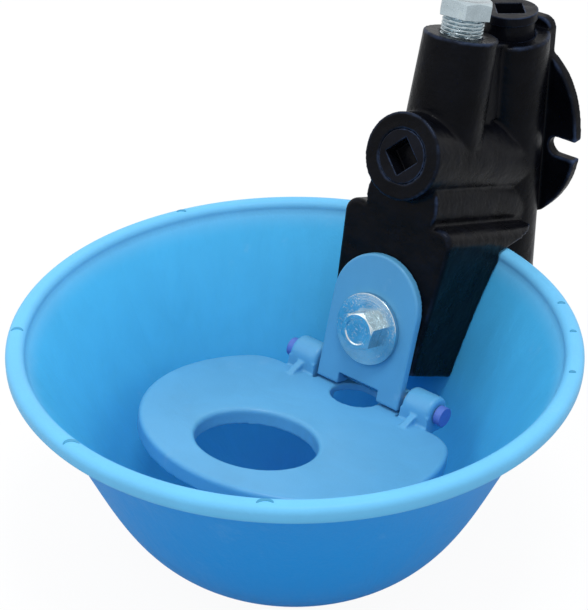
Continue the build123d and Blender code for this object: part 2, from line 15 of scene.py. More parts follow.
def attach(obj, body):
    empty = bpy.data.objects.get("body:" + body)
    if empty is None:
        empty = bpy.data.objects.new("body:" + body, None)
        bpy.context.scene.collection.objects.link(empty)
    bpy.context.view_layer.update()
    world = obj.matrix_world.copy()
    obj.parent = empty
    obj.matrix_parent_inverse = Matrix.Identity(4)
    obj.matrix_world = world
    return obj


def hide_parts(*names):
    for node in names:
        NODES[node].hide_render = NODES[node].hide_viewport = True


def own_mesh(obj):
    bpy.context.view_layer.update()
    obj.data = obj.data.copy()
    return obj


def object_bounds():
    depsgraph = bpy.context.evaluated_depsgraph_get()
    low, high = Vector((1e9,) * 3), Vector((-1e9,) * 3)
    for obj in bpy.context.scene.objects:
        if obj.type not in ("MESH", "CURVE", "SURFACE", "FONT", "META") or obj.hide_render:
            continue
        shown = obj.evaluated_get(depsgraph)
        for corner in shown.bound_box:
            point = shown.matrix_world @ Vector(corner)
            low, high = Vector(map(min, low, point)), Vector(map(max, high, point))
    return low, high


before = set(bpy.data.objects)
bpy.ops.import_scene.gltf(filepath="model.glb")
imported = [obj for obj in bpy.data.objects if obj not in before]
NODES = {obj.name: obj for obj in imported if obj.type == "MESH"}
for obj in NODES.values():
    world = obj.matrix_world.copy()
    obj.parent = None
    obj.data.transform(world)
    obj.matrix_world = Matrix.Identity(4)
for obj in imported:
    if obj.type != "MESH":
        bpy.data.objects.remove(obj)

bl_info = {
    "name": "Livestock Drinking Bowl",
    "version": (1, 0, 0),
    "blender": (4, 5, 0),
    "location": "3D View > Sidebar > Drinker",
    "description": "Finishes, threads, screw heads and stage of a wall mounted drinking bowl",
    "category": "Object",
}

CAD_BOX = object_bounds()
MM = 0.001

# Places that the solids share, in millimetres: each is a point of the part's frame
RIM_CENTRE = (0.0, -186.0, -35.5)
HINGE = (0.0, -130.2, -93.3)
VALVE_TOP = (0.0, -63.0, 74.2)
HOOD_LEAN = math.radians(16.0)
PASSAGE_FALL = math.radians(20.0)
VALVE_LEAN = math.radians(13.0)


def srgb(red, green, blue):
    """Linear colour of a screen colour given as 0 to 255."""
    values = np.array([red, green, blue]) / 255.0
    return tuple(np.where(values <= 0.04045, values / 12.92, ((values + 0.055) / 1.055) ** 2.4))


STEEL = srgb(196, 200, 204)


# ---------------------------------------------------------------------------------------------
# Settings that a user would change
# ---------------------------------------------------------------------------------------------


class DrinkerSizes(bpy.types.PropertyGroup):
    cast_voxel: FloatProperty(
        name="Cast grain", description="Grid that the casting's copy is rounded on",
        default=0.8, min=0.5, max=3)
    cast_rounds: IntProperty(
        name="Cast rounding", description="How many times the casting's edges are eased", default=40, min=0)
    cast_keep: FloatProperty(
        name="Cast thinning", description="Share of the casting's faces that are kept",
        default=0.5, min=0.1, max=1)
    moulded_voxel: FloatProperty(
        name="Moulded grain", description="Grid that a moulded copy is rounded on",
        default=0.8, min=0.3, max=3)
    moulded_rounds: IntProperty(
        name="Moulded rounding", description="How many times moulded edges are eased", default=5, min=0)
    regulator_across: FloatProperty(
        name="Regulator flats", description="Width across the regulator's flats, mm", default=24.0, min=10)
    regulator_turn: FloatProperty(
        name="Regulator turn", description="Turn of the regulator's hexagon, degrees", default=4.6)
    bolt_across: FloatProperty(
        name="Bolt flats", description="Width across the bracket bolt's flats, mm", default=18.0, min=6)
    bolt_turn: FloatProperty(
        name="Bolt turn", description="Turn of the bracket bolt's hexagon, degrees", default=22.0)
    pipe_pitch: FloatProperty(
        name="Pipe thread pitch", description="Pitch of the three-quarter inch thread, mm",
        default=1.814, min=0.5)
    screw_pitch: FloatProperty(
        name="Screw pitch", description="Pitch of the bowl screws, mm", default=1.25, min=0.4)
    mark_reach: FloatProperty(
        name="Mould mark size", description="Radius of the crescent mould marks on the rim, mm",
        default=3.8, min=1)


class DrinkerColours(bpy.types.PropertyGroup):
    bowl: FloatVectorProperty(
        name="Bowl", description="Moulded bowl", subtype="COLOR", default=srgb(76, 184, 238), min=0, max=1)
    paddle: FloatVectorProperty(
        name="Paddle", description="Moulded paddle and bracket", subtype="COLOR",
        default=srgb(88, 160, 206), min=0, max=1)
    enamel: FloatVectorProperty(
        name="Enamel", description="Black enamel on the casting", subtype="COLOR", default=srgb(7, 8, 13),
        min=0, max=1)
    plating: FloatVectorProperty(
        name="Plating", description="Bright zinc on screws and washers", subtype="COLOR",
        default=srgb(188, 203, 210), min=0, max=1)
    pin_end: FloatVectorProperty(
        name="Pin ends", description="Moulded caps on the hinge pin", subtype="COLOR",
        default=srgb(84, 116, 196), min=0, max=1)
    brass: FloatVectorProperty(
        name="Brass", description="Turned brass inside the valve", subtype="COLOR",
        default=srgb(205, 170, 92),
        min=0, max=1)
    rubber: FloatVectorProperty(
        name="Rubber", description="Seals and the valve's disc", subtype="COLOR", default=srgb(38, 38, 42),
        min=0, max=1)


class DrinkerStage(bpy.types.PropertyGroup):
    key_power: FloatProperty(
        name="Key lamp", description="Power of the soft main lamp, W", default=12.0, min=0)
    fill_power: FloatProperty(
        name="Fill lamp", description="Power of the soft second lamp, W", default=3.5, min=0)
    sky: FloatProperty(name="Sky", description="Strength of the white surroundings", default=1.05, min=0)


def settings():
    """The sizes, colours and stage settings of the scene."""
    scene = bpy.context.scene
    return scene.drinker_sizes, scene.drinker_colours, scene.drinker_stage


# ---------------------------------------------------------------------------------------------
# Shader values that take part in Python arithmetic
# ---------------------------------------------------------------------------------------------


class Signal:
    """One shader socket. Arithmetic on it adds Math nodes."""

    def __init__(self, finish, socket):
        self.finish, self.socket = finish, socket

    def _math(self, operation, *values):
        inputs = dict(enumerate(values))
        return self.finish.node("ShaderNodeMath", {"operation": operation}, inputs)

    def __add__(self, other):
        return self._math("ADD", self, other)

    __radd__ = __add__

    def __sub__(self, other):
        return self._math("SUBTRACT", self, other)

    def __rsub__(self, other):
        return self._math("SUBTRACT", other, self)

    def __mul__(self, other):
        return self._math("MULTIPLY", self, other)

    __rmul__ = __mul__

    def __truediv__(self, other):
        return self._math("DIVIDE", self, other)

    def __rtruediv__(self, other):
        return self._math("DIVIDE", other, self)

    def __pow__(self, other):
        return self._math("POWER", self, other)

    def over(self, low, high):
        """How far the value has gone from low to high, held between 0 and 1."""
        ranges = {"From Min": low, "From Max": high}
        return self.finish.node("ShaderNodeMapRange", {"clamp": True}, {"Value": self, **ranges})


class Finish:
    """A node material with one Principled shader, built from Signals."""

    def __init__(self, name):
        self.material = bpy.data.materials.new(name)
        self.material.use_nodes = True
        self.tree = self.material.node_tree
        self.shader = self.tree.nodes["Principled BSDF"]
        self.place = self.node("ShaderNodeTexCoord", outputs="Object")

    def node(self, kind, options=None, inputs=None, outputs=0):
        """Adds a node: its options first, then the values or links of its sockets."""
        made = self.tree.nodes.new(kind)
        for key, value in (options or {}).items():
            if key == "stops":
                ramp = made.color_ramp.elements
                while len(ramp) < len(value):
                    ramp.new(0.5)
                for stop, (where, colour) in zip(ramp, value):
                    stop.position, stop.color = where, (*colour, 1.0)
            else:
                setattr(made, key, value)
        for key, value in (inputs or {}).items():
            self.feed(made.inputs[key], value)
        return Signal(self, made.outputs[outputs])

    def feed(self, socket, value):
        """Sets a socket to a value, or links a signal to it."""
        if isinstance(value, Signal):
            self.tree.links.new(value.socket, socket)
        elif socket.type == "RGBA" and len(value) == 3:
            socket.default_value = (*value, 1.0)
        else:
            socket.default_value = value

    def noise(self, scale, detail=3.0, roughness=0.5, stretch=None, distortion=0.0):
        """Cloudy value from 0 to 1; scale is in cycles a metre and stretch slows it along an axis."""
        place = self.place
        if stretch:
            place = self.node("ShaderNodeVectorMath", {"operation": "MULTIPLY"}, {0: place, 1: stretch})
        values = {"Vector": place, "Scale": scale, "Detail": detail, "Roughness": roughness,
                  "Distortion": distortion}
        return self.node("ShaderNodeTexNoise", None, values)

    def mix(self, amount, first, second):
        """Colour that goes from the first to the second as the amount goes from 0 to 1."""
        sockets = {"Factor": amount, 6: first, 7: second}
        return self.node("ShaderNodeMix", {"data_type": "RGBA"}, sockets, 2)

    def bump(self, height, depth, base=None):
        """Normal of a relief this many metres deep."""
        sockets = {"Height": height, "Distance": depth, "Strength": 1.0}
        if base:
            sockets["Normal"] = base
        return self.node("ShaderNodeBump", None, sockets)

    def edges(self, low, high):
        """1 on sharp outer edges, 0 on flat ground, from the share of bend that eased_copy stores."""
        bend = self.node("ShaderNodeAttribute", {"attribute_name": "bend"}, outputs="Fac")
        return bend.over(low, high)

    def set(self, **values):
        """Feeds the shader's sockets; an underscore in a name stands for a space."""
        for key, value in values.items():
            self.feed(self.shader.inputs[key.replace("_", " ")], value)
        return self.material


def shade(colour, factor):
    """The colour made darker or lighter, held below 1."""
    return tuple(min(1.0, channel * factor) for channel in colour)


# ---------------------------------------------------------------------------------------------
# Finishes
# ---------------------------------------------------------------------------------------------


def moulded_plastic(name, colour, gloss=0.32):
    """Moulded polyethylene: cloudy colour, faint flow streaks, fine pits and rubbed, paler edges."""
    finish = Finish(name)
    cloud = finish.noise(11.0, 4.0, 0.55)
    flow = finish.noise(34.0, 3.0, 0.6, (1.0, 1.0, 0.22), 0.6)
    pits = finish.noise(900.0, 2.0, 0.6)
    scuff = finish.noise(60.0, 6.0, 0.72, (1.0, 0.35, 0.6)).over(0.60, 0.72)
    ground = finish.mix(cloud.over(0.3, 0.7), shade(colour, 0.90), shade(colour, 1.08))
    ground = finish.mix(flow.over(0.42, 0.62) * 0.30, ground, shade(colour, 1.16))
    pale = tuple(0.55 * c + 0.45 for c in colour)
    ground = finish.mix(scuff * 0.10, ground, pale)
    rough = gloss + cloud * 0.10 + scuff * 0.14
    relief = finish.bump(flow, 0.0006)
    relief = finish.bump(pits, 0.00006, relief)
    return finish.set(Base_Color=ground, Roughness=rough, Normal=relief, Specular_IOR_Level=0.3)


def bowl_plastic(name, colour):
    """The bowl's plastic: as moulded plastic, with rings of tool marks, a painted pale sheen on the rim and
    painted shade on the outer wall.
    """
    finish = Finish(name)
    centre = tuple(v * MM for v in RIM_CENTRE)
    local = finish.node("ShaderNodeVectorMath", {"operation": "SUBTRACT"}, {0: finish.place, 1: centre})
    x, y, z = (finish.node("ShaderNodeSeparateXYZ", None, {0: local}, axis) for axis in range(3))
    radius = (x * x + y * y) ** 0.5
    turn = finish.node("ShaderNodeMath", {"operation": "ARCTAN2"}, {0: y, 1: x})
    polar = finish.node("ShaderNodeCombineXYZ", None, {0: turn * 0.12, 1: radius * 0.5, 2: z * 0.5})
    streak = finish.node("ShaderNodeTexNoise", None,
                         {"Vector": polar, "Scale": 60.0, "Detail": 4.0, "Roughness": 0.6, "Distortion": 0.3})
    cloud = finish.noise(8.0, 4.0, 0.55)
    pits = finish.noise(800.0, 2.0, 0.6)
    scuff = finish.noise(45.0, 7.0, 0.74, (1.0, 0.5, 0.8)).over(0.61, 0.74)
    ground = finish.mix(cloud.over(0.3, 0.7), shade(colour, 0.92), shade(colour, 1.06))
    ground = finish.mix(streak.over(0.45, 0.7) * 0.22, ground, shade(colour, 1.18))
    pale = tuple(0.6 * c + 0.4 for c in colour)
    # Painted shade: below the rim, where the surface faces away from the bowl's axis, the outer wall is given
    # a deeper blue for the shade it lies in.
    outward = finish.node("ShaderNodeTexCoord", outputs="Normal")
    facing = finish.node("ShaderNodeVectorMath", {"operation": "DOT_PRODUCT"}, {0: outward, 1: local}, 1)
    outside = (facing / (radius + 0.001)).over(0.2, 0.7) * (z * -1.0).over(0.0085, 0.0095)
    ground = finish.mix(outside, ground, srgb(24, 146, 226))
    # Painted sheen: the top of the rim is mixed towards a paler blue.
    painted_rim_sheen = z.over(-0.014, -0.004) * radius.over(0.118, 0.1245)
    ground = finish.mix(painted_rim_sheen * 0.22, ground, pale)
    ground = finish.mix(scuff * 0.12, ground, pale)
    rough = 0.34 + cloud * 0.10 + scuff * 0.12
    relief = finish.bump(streak, 0.0007)
    relief = finish.bump(pits, 0.00006, relief)
    return finish.set(Base_Color=ground, Roughness=rough, Normal=relief, Specular_IOR_Level=0.12)


def black_enamel(name, colour, grain=0.0005, highlight_share=0.62):
    """Dipped black enamel over sand-cast iron: soft waves, fine cast grain and painted bluish highlights on
    sharp edges.
    """
    finish = Finish(name)
    wave = finish.noise(55.0, 3.0, 0.5)
    sand = finish.noise(420.0, 5.0, 0.65)
    dust = finish.noise(95.0, 6.0, 0.7).over(0.56, 0.75)
    ground = finish.mix(wave.over(0.35, 0.68), shade(colour, 0.7), shade(colour, 1.5))
    patches = finish.noise(45.0, 5.0, 0.65).over(0.44, 0.60)
    # Painted highlight: sharp outer edges, broken into patches, are mixed towards a pale steel blue.
    painted_edge_highlight = finish.edges(0.04, 0.11) * (0.12 + patches * 0.88)
    ground = finish.mix(painted_edge_highlight * highlight_share, ground, srgb(64, 82, 116))
    ground = finish.mix(dust * 0.05, ground, srgb(50, 64, 92))
    rough = 0.22 + wave * 0.12 + dust * 0.18
    relief = finish.bump(wave, 0.0011)
    relief = finish.bump(sand, grain * 0.35, relief)
    return finish.set(Base_Color=ground, Roughness=rough, Normal=relief, Specular_IOR_Level=0.07)


def bright_zinc(name, colour, rough=0.26, centre=None, axis=None):
    """Zinc plating on steel: passivation clouds, dull spots and, round an axis, turned rings."""
    finish = Finish(name)
    cloud = finish.noise(130.0, 3.0, 0.6)
    spots = finish.noise(700.0, 5.0, 0.7).over(0.55, 0.8)
    ground = finish.mix(cloud.over(0.35, 0.65), shade(colour, 0.86), shade(colour, 1.05))
    ground = finish.mix(cloud.over(0.58, 0.75) * 0.35, ground, srgb(176, 190, 178))
    ground = finish.mix(spots * 0.35, ground, shade(colour, 0.5))
    dull = rough + spots * 0.22 + cloud * 0.10
    relief = finish.bump(spots, 0.00008)
    if centre:
        local = finish.node("ShaderNodeVectorMath", {"operation": "SUBTRACT"}, {0: finish.place, 1: centre})
        along = finish.node("ShaderNodeVectorMath", {"operation": "DOT_PRODUCT"}, {0: local, 1: axis}, 1)
        size = finish.node("ShaderNodeVectorMath", {"operation": "DOT_PRODUCT"}, {0: local, 1: local}, 1)
        radius = (size - along * along) ** 0.5
        rings = finish.node("ShaderNodeTexNoise", {"noise_dimensions": "1D"},
                            {"W": radius, "Scale": 2600.0, "Detail": 2.0})
        relief = finish.bump(rings, 0.00005, relief)
    return finish.set(Base_Color=ground, Roughness=dull, Normal=relief, Metallic=1.0)


def drawn_steel(name, colour):
    """Drawn stainless wire and rod: fine lines and a little stain."""
    finish = Finish(name)
    lines = finish.noise(900.0, 2.0, 0.5, (0.05, 1.0, 1.0))
    stain = finish.noise(160.0, 4.0, 0.6).over(0.5, 0.75)
    ground = finish.mix(stain * 0.4, colour, shade(colour, 0.6))
    relief = finish.bump(lines, 0.00003)
    return finish.set(Base_Color=ground, Roughness=0.24 + stain * 0.2, Normal=relief, Metallic=1.0)


def turned_brass(name, colour):
    """Turned brass with a dull film."""
    finish = Finish(name)
    film = finish.noise(240.0, 4.0, 0.6)
    ground = finish.mix(film.over(0.35, 0.7), colour, shade(colour, 0.62))
    relief = finish.bump(finish.noise(1500.0, 2.0, 0.5), 0.00003)
    return finish.set(Base_Color=ground, Roughness=0.25 + film * 0.25, Normal=relief, Metallic=1.0)


def seal_rubber(name, colour):
    """Moulded rubber with a grey bloom."""
    finish = Finish(name)
    bloom = finish.noise(300.0, 5.0, 0.65)
    ground = finish.mix(bloom.over(0.4, 0.7), colour, tuple(c * 1.6 + 0.01 for c in colour))
    relief = finish.bump(bloom, 0.00005)
    return finish.set(Base_Color=ground, Roughness=0.62 + bloom * 0.2, Normal=relief)


# ---------------------------------------------------------------------------------------------
# Surfaces
# ---------------------------------------------------------------------------------------------


def add_mesh(name, vertices, faces):
    """An object at the origin from points and faces, doubles merged, closed and facing out."""
    mesh = bpy.data.meshes.new(name)
    mesh.from_pydata(np.asarray(vertices, float).tolist(), [], faces)
    obj = bpy.data.objects.new(name, mesh)
    bpy.context.scene.collection.objects.link(obj)
    clean(mesh)
    return obj


def clean(mesh, distance=1e-6, outward=True):
    """Merges a mesh's doubles and, where asked, turns its faces out."""
    shape = bmesh.new()
    shape.from_mesh(mesh)
    bmesh.ops.remove_doubles(shape, verts=shape.verts, dist=distance)
    bmesh.ops.dissolve_degenerate(shape, dist=distance, edges=shape.edges)
    if outward:
        bmesh.ops.recalc_face_normals(shape, faces=shape.faces)
    shape.to_mesh(mesh)
    shape.free()


def smooth(obj, angle=35.0):
    """Smooth shading that keeps edges sharper than the angle."""
    obj.data.shade_smooth()
    obj.data.set_sharp_from_angle(angle=math.radians(angle))
    return obj


def grid_faces(rows, columns, close_columns=True, close_rows=False):
    """Quads of a rows by columns grid, its last column joined to the first."""
    row = np.arange(rows if close_rows else rows - 1)[:, None]
    column = np.arange(columns if close_columns else columns - 1)[None, :]
    next_row, next_column = (row + 1) % rows, (column + 1) % columns
    corners = [row * columns + column, row * columns + next_column,
               next_row * columns + next_column, next_row * columns + column]
    return np.stack([np.broadcast_to(c, (len(row), column.shape[1])).ravel() for c in corners], 1).tolist()


class Place:
    """A right-handed plane of the part, in millimetres: origin, x across, y up it and z out of it."""

    def __init__(self, origin, x, z):
        self.origin = np.array(origin, float)
        self.x = np.array(x, float) / np.linalg.norm(x)
        self.z = np.array(z, float) / np.linalg.norm(z)
        self.y = np.cross(self.z, self.x)

    def __call__(self, x, y, z):
        """Points of the part, in metres, from the plane's own millimetres."""
        x, y, z = np.broadcast_arrays(x, y, z)
        return (self.origin + x[..., None] * self.x + y[..., None] * self.y + z[..., None] * self.z) * MM


def hood_place():
    """Plane of the hood's front face at the hinge pin, z out of it."""
    return Place(HINGE, (1, 0, 0), (0, -math.cos(HOOD_LEAN), math.sin(HOOD_LEAN)))


def valve_place():
    """Plane across the top of the valve column, z along the valve's axis."""
    return Place(VALVE_TOP, (1, 0, 0), (0, math.sin(VALVE_LEAN), math.cos(VALVE_LEAN)))


def revolved(name, place, radii, heights, columns=96, ring=False):
    """A profile carried round the plane's z axis: x and y are the radius times the turn's cosine and
    sine, z is the height. For a ring the profile is a closed loop."""
    turn = np.linspace(0, 2 * np.pi, columns, endpoint=False)
    radii, heights = np.asarray(radii, float)[:, None], np.asarray(heights, float)[:, None]
    points = place(radii * np.cos(turn), radii * np.sin(turn), heights + 0 * turn)
    return add_mesh(name, points.reshape(-1, 3), grid_faces(len(radii), columns, close_rows=ring))


def corner(centre_r, centre_z, radius, start, end, steps=6):
    """Points of an arc in a profile, from one angle to another in degrees."""
    turn = np.radians(np.linspace(start, end, steps))
    return centre_r + radius * np.cos(turn), centre_z + radius * np.sin(turn)


def flat_washer(name, place, inner, outer, low, high, ease=0.35):
    """A washer as a closed ring: a rectangle of inner to outer and low to high, its corners eased."""
    arcs = [corner(outer - ease, high - ease, ease, 90, 0),
            corner(outer - ease, low + ease, ease, 0, -90),
            corner(inner + ease, low + ease, ease, -90, -180),
            corner(inner + ease, high - ease, ease, 180, 90)]
    radii, heights = (np.concatenate([arc[i] for arc in arcs]) for i in (0, 1))
    return revolved(name, place, radii, heights, ring=True)


def hexagon_reach(turn, across):
    """Distance from the middle to a hexagon's side: half the width over the cosine of the angle from
    the nearest side's middle, with a corner at zero."""
    sixth = np.pi / 3
    return across / 2 / np.cos(np.mod(turn, sixth) - sixth / 2)


def hexagon_head(name, place, across, low, high, turn=0.0, dish=0.0, chamfer=28.0, sides=16):
    """A hexagon head: a round flat, then a cone that falls by the chamfer's slope out to the hexagon,
    then the sides, then the bearing face."""
    angle = np.linspace(0, 2 * np.pi, 6 * sides, endpoint=False)
    reach = hexagon_reach(angle, across)
    flat = 0.475 * across
    fall = np.tan(math.radians(chamfer))
    shares = [0.0, 0.45, 0.72, 0.80, 1.0]
    rows = [(share * flat + 0 * angle, high - dish * (share < 0.75) + 0 * angle) for share in shares]
    for share in (0.25, 0.5, 0.75, 1.0):
        out = flat + (reach - 0.12 - flat) * share
        rows.append((out, high - (out - flat) * fall))
    edge = high - (reach - flat) * fall
    rows += [(reach, edge - 0.12), (reach, low + 0.15 + 0 * angle), (reach - 0.15, low + 0 * angle)]
    rows.append((0 * angle, low + 0 * angle))
    radii, heights = (np.stack([row[i] for row in rows]) for i in (0, 1))
    angle = angle + math.radians(turn)
    points = place(radii * np.cos(angle), radii * np.sin(angle), heights)
    return add_mesh(name, points.reshape(-1, 3), grid_faces(len(rows), len(angle)))


def threaded_rod(name, place, radius, depth, pitch, low, high, columns=60, steps=8):
    """A screw thread: the radius drops by the depth as a triangle wave of the height less the pitch
    times the share of a turn, with crest and root flattened, and fades out at both ends."""
    turn = np.linspace(0, 2 * np.pi, columns, endpoint=False)
    rows = max(4, int((high - low) / pitch * steps))
    height = np.linspace(low, high, rows)[:, None]
    phase = np.mod(height / pitch - turn / (2 * np.pi), 1.0)
    groove = np.clip(np.abs(2 * phase - 1) * 2.2 - 0.15, 0, 1)
    ends = np.clip(np.minimum(height - low, high - height) / (0.6 * pitch), 0, 1)
    radii = radius - depth * (1 - groove) * ends - depth * 0.8 * (1 - ends)
    radii = np.vstack([np.zeros(columns), radii, np.zeros(columns)])
    height = np.vstack([[low], height, [high]])
    points = place(radii * np.cos(turn), radii * np.sin(turn), height + 0 * turn)
    return add_mesh(name, points.reshape(-1, 3), grid_faces(rows + 2, columns))


def mesh_points(mesh):
    """The points of a mesh, one to a row."""
    points = np.empty(len(mesh.vertices) * 3)
    mesh.vertices.foreach_get("co", points)
    return points.reshape(-1, 3)


def joined(name, parts):
    """One object from several closed shells."""
    vertices, faces, start = [], [], 0
    for part in parts:
        mesh = part.data
        vertices.append(mesh_points(mesh))
        faces += [[start + i for i in face.vertices] for face in mesh.polygons]
        start += len(mesh.vertices)
        bpy.data.objects.remove(part)
    mesh = bpy.data.meshes.new(name)
    mesh.from_pydata(np.vstack(vertices).tolist(), [], faces)
    obj = bpy.data.objects.new(name, mesh)
    bpy.context.scene.collection.objects.link(obj)
    return obj


def merged_copy(node, name):
    """A copy of a solid's mesh with its loose triangles joined."""
    obj = bpy.data.objects.new(name, NODES[node].data.copy())
    bpy.context.scene.collection.objects.link(obj)
    clean(obj.data, outward=False)
    obj.data.materials.clear()
    return obj


def applied(obj):
    """The mesh that an object's modifiers make. The object itself is removed."""
    graph = bpy.context.evaluated_depsgraph_get()
    mesh = bpy.data.meshes.new_from_object(obj.evaluated_get(graph))
    bpy.data.objects.remove(obj)
    return mesh


def eased_copy(node, name, voxel, rounds, keep=1.0):
    """A copy of a solid, remade on an even grid, laid on the solid and eased: each point moves towards
    its neighbours' mean and then a little back, which rounds edges and inner corners alike and keeps
    the size. Its attribute "bend" is how far a point stands out of its neighbours' mean, as a share of
    the grid. Then the mesh is thinned to the share of its faces to keep."""
    form, obj = merged_copy(node, name + "_form"), merged_copy(node, name)
    remesh = obj.modifiers.new("Grid", "REMESH")
    remesh.mode, remesh.voxel_size = "VOXEL", voxel * MM
    obj.modifiers.new("Lay", "SHRINKWRAP").target = form
    mesh = applied(obj)
    bpy.data.objects.remove(form)
    points = mesh_points(mesh)
    edges = np.empty(len(mesh.edges) * 2, np.int64)
    mesh.edges.foreach_get("vertices", edges)
    first, second = edges.reshape(-1, 2).T
    count = np.bincount(edges, minlength=len(points))[:, None]

    def around(values):
        """Mean of each point's neighbours."""
        sums = [np.bincount(first, column[second], len(points))
                + np.bincount(second, column[first], len(points)) for column in values.T]
        return np.stack(sums, 1) / count

    for step in range(2 * rounds):
        pull = 0.55 if step % 2 == 0 else -0.56
        points = points + pull * (around(points) - points)
    mesh.vertices.foreach_set("co", points.ravel())
    mesh.update()
    normals = np.empty(len(points) * 3)
    mesh.vertices.foreach_get("normal", normals)
    bend = ((points - around(points)) * normals.reshape(-1, 3)).sum(1)[:, None] / (voxel * MM)
    for _ in range(4):
        bend = 0.5 * bend + 0.5 * around(bend)
    mesh.attributes.new("bend", "FLOAT", "POINT").data.foreach_set("value", bend.ravel().astype(np.float32))
    if keep < 1:
        obj = bpy.data.objects.new(name, mesh)
        bpy.context.scene.collection.objects.link(obj)
        obj.modifiers.new("Thin", "DECIMATE").ratio = keep
        mesh = applied(obj)
    obj = bpy.data.objects.new(name, mesh)
    mesh.name = name
    bpy.context.scene.collection.objects.link(obj)
    return smooth(obj, 60.0)


def finish_piece(obj, material, body, slot, *nodes):
    """Gives a piece its material and body, and hides the solids that it stands for. The slot is not used."""
    obj.data.materials.clear()
    obj.data.materials.append(material)
    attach(obj, body)
    if nodes:
        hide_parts(*nodes)
    return obj


def dress(material, *nodes):
    """Gives solids that are shown as they are a material."""
    for node in nodes:
        mesh = NODES[node].data
        mesh.materials.clear()
        mesh.materials.append(material)


# ---------------------------------------------------------------------------------------------
# Bowl
# ---------------------------------------------------------------------------------------------


def cubic(points, share):
    """Points of a Bezier curve: each control point times its share of (1 - t) and t to the third."""
    points = np.array(points, float)
    t = share[:, None]
    weights = [(1 - t) ** 3, 3 * t * (1 - t) ** 2, 3 * t ** 2 * (1 - t), t ** 3]
    return sum(weight * point for weight, point in zip(weights, points))


def bowl_wall(inset, share):
    """Profile of the bowl's wall from mouth to floor, moved in by the inset."""
    return cubic([(130 - inset, -4.5), (92 - inset, inset / 2 - 60), (98 - inset, inset - 120),
                  (30, inset - 120)], share)


def bowl_profile():
    """Closed profile of the bowl: up the inside, over the rounded rim and down the outside."""
    share = np.linspace(1, 0, 70)
    inside = bowl_wall(4, share)
    outside = bowl_wall(0, share[::-1])
    outside = outside[(outside[:, 1] < -9)]
    rim = [corner(129.4, -3.4, 3.4, 180, 90, 8), corner(131.6, -3.4, 3.4, 90, 0, 8),
           corner(131.6, -5.6, 3.4, 0, -90, 8)]
    radii = np.concatenate([[0], inside[:, 0], *[arc[0] for arc in rim], [129.6], outside[:, 0], [0]])
    heights = np.concatenate([[-116], inside[:, 1], *[arc[1] for arc in rim], [-9.3], outside[:, 1], [-120]])
    return radii, heights


def bowl_screw_place(side):
    """Plane on the bowl's outside at a bowl screw, its z out along the screw."""
    slope, turn = math.radians(27.0), math.radians(8.4) * side
    wall = bowl_wall(0, np.linspace(0, 1, 2001))
    radius = np.interp(30.0, -wall[:, 1], wall[:, 0])
    out = (math.sin(turn) * math.cos(slope), math.cos(turn) * math.cos(slope), -math.sin(slope))
    origin = (radius * math.sin(turn), radius * math.cos(turn) - 186.0, -30.0 - 35.5)
    return Place(origin, (math.cos(turn), -math.sin(turn), 0), out)


def rim_height(radius):
    """Height of the rim's top at a radius from the bowl's axis: flat in the middle, then a quarter
    circle of the rim's rounding to either side."""
    past = np.maximum(np.abs(radius - 130.5) - 1.1, 0)
    return np.sqrt(np.maximum(3.4 ** 2 - past ** 2, 0)) - 3.4


def crescent(name, angle, reach, apex=math.radians(132.0), width=1.0):
    """A crescent ridge on the rim: a short arc of a circle whose round section swells from its tips
    to the middle, laid on the rim's height at each point's distance from the bowl's axis."""
    share = np.linspace(-1, 1, 25)[:, None]
    turn = np.linspace(0, 2 * np.pi, 10, endpoint=False)
    along = apex + share * 1.15
    thick = width * np.sqrt(np.clip(1 - share ** 2, 0, 1))
    radii = reach + thick * np.cos(turn)
    x = 130.5 * math.cos(angle) + radii * np.cos(along) - 0.6 * reach * math.cos(apex)
    y = 130.5 * math.sin(angle) + radii * np.sin(along) - 0.6 * reach * math.sin(apex)
    height = rim_height(np.hypot(x, y)) + thick * 0.5 * np.sin(turn)
    points = Place(RIM_CENTRE, (1, 0, 0), (0, 0, 1))(x, y, height)
    return add_mesh(name, points.reshape(-1, 3), grid_faces(25, 10))


# Crescent marks that the mould leaves on the rim: angle in degrees from +X, and share of full size
RIM_MARKS = ((-139.2, 0.8), (-96.0, 1.0), (-54.6, 1.0), (51.1, 0.5), (39.9, 0.4), (24.7, 0.4), (104.0, 0.6),
             (158.0, 0.7))


class DRINKER_OT_bowl(bpy.types.Operator):
    """Bowl with its rolled rim, mould marks and screw pads"""
    bl_idname = "drinker.bowl"
    bl_label = "Bowl"

    def execute(self, context):
        sizes, colours, _ = settings()
        plastic = bowl_plastic("bowl_plastic", colours.bowl)
        base = Place(RIM_CENTRE, (1, 0, 0), (0, 0, 1))
        radii, heights = bowl_profile()
        shell = revolved("bowl_shell", base, radii, heights, 360)
        pads = []
        for side in (-1, 1):
            place = bowl_screw_place(side)
            arc = corner(9.7, 1.4, 0.8, 90, 0)
            pad_radii = np.concatenate([[0, 4.0], arc[0], [10.5, 0]])
            pad_heights = np.concatenate([[2.2, 2.2], arc[1], [-2.0, -2.0]])
            pads.append(revolved(f"pad_{side}", place, pad_radii, pad_heights))
        body = joined("bowl_body", [shell, *pads])
        finish_piece(smooth(body, 40), plastic, "housing", "bowl_plastic", "bowl")
        marks = []
        for number, (angle, share) in enumerate(RIM_MARKS):
            marks.append(crescent(f"mark_{number}", math.radians(angle), sizes.mark_reach * share))
        marks = joined("bowl_rim_marks", marks)
        # Painted shade: the crescent marks get the bowl's blue made darker, for the shade round the raised
        # marks.
        painted_shade_marks = moulded_plastic("mark_plastic", shade(colours.bowl, 0.62))
        finish_piece(smooth(marks, 60), painted_shade_marks, "housing", "bowl_plastic")
        return {"FINISHED"}


# ---------------------------------------------------------------------------------------------
# Casting and its plugs
# ---------------------------------------------------------------------------------------------


class DRINKER_OT_casting(bpy.types.Operator):
    """Valve housing, its edges eased as a casting's are under enamel"""
    bl_idname = "drinker.casting"
    bl_label = "Valve housing"

    def execute(self, context):
        sizes, colours, _ = settings()
        enamel = black_enamel("black_enamel", colours.enamel)
        body = eased_copy("valve_housing", "casting", sizes.cast_voxel, sizes.cast_rounds, sizes.cast_keep)
        finish_piece(body, enamel, "housing", "black_enamel", "valve_housing")
        return {"FINISHED"}


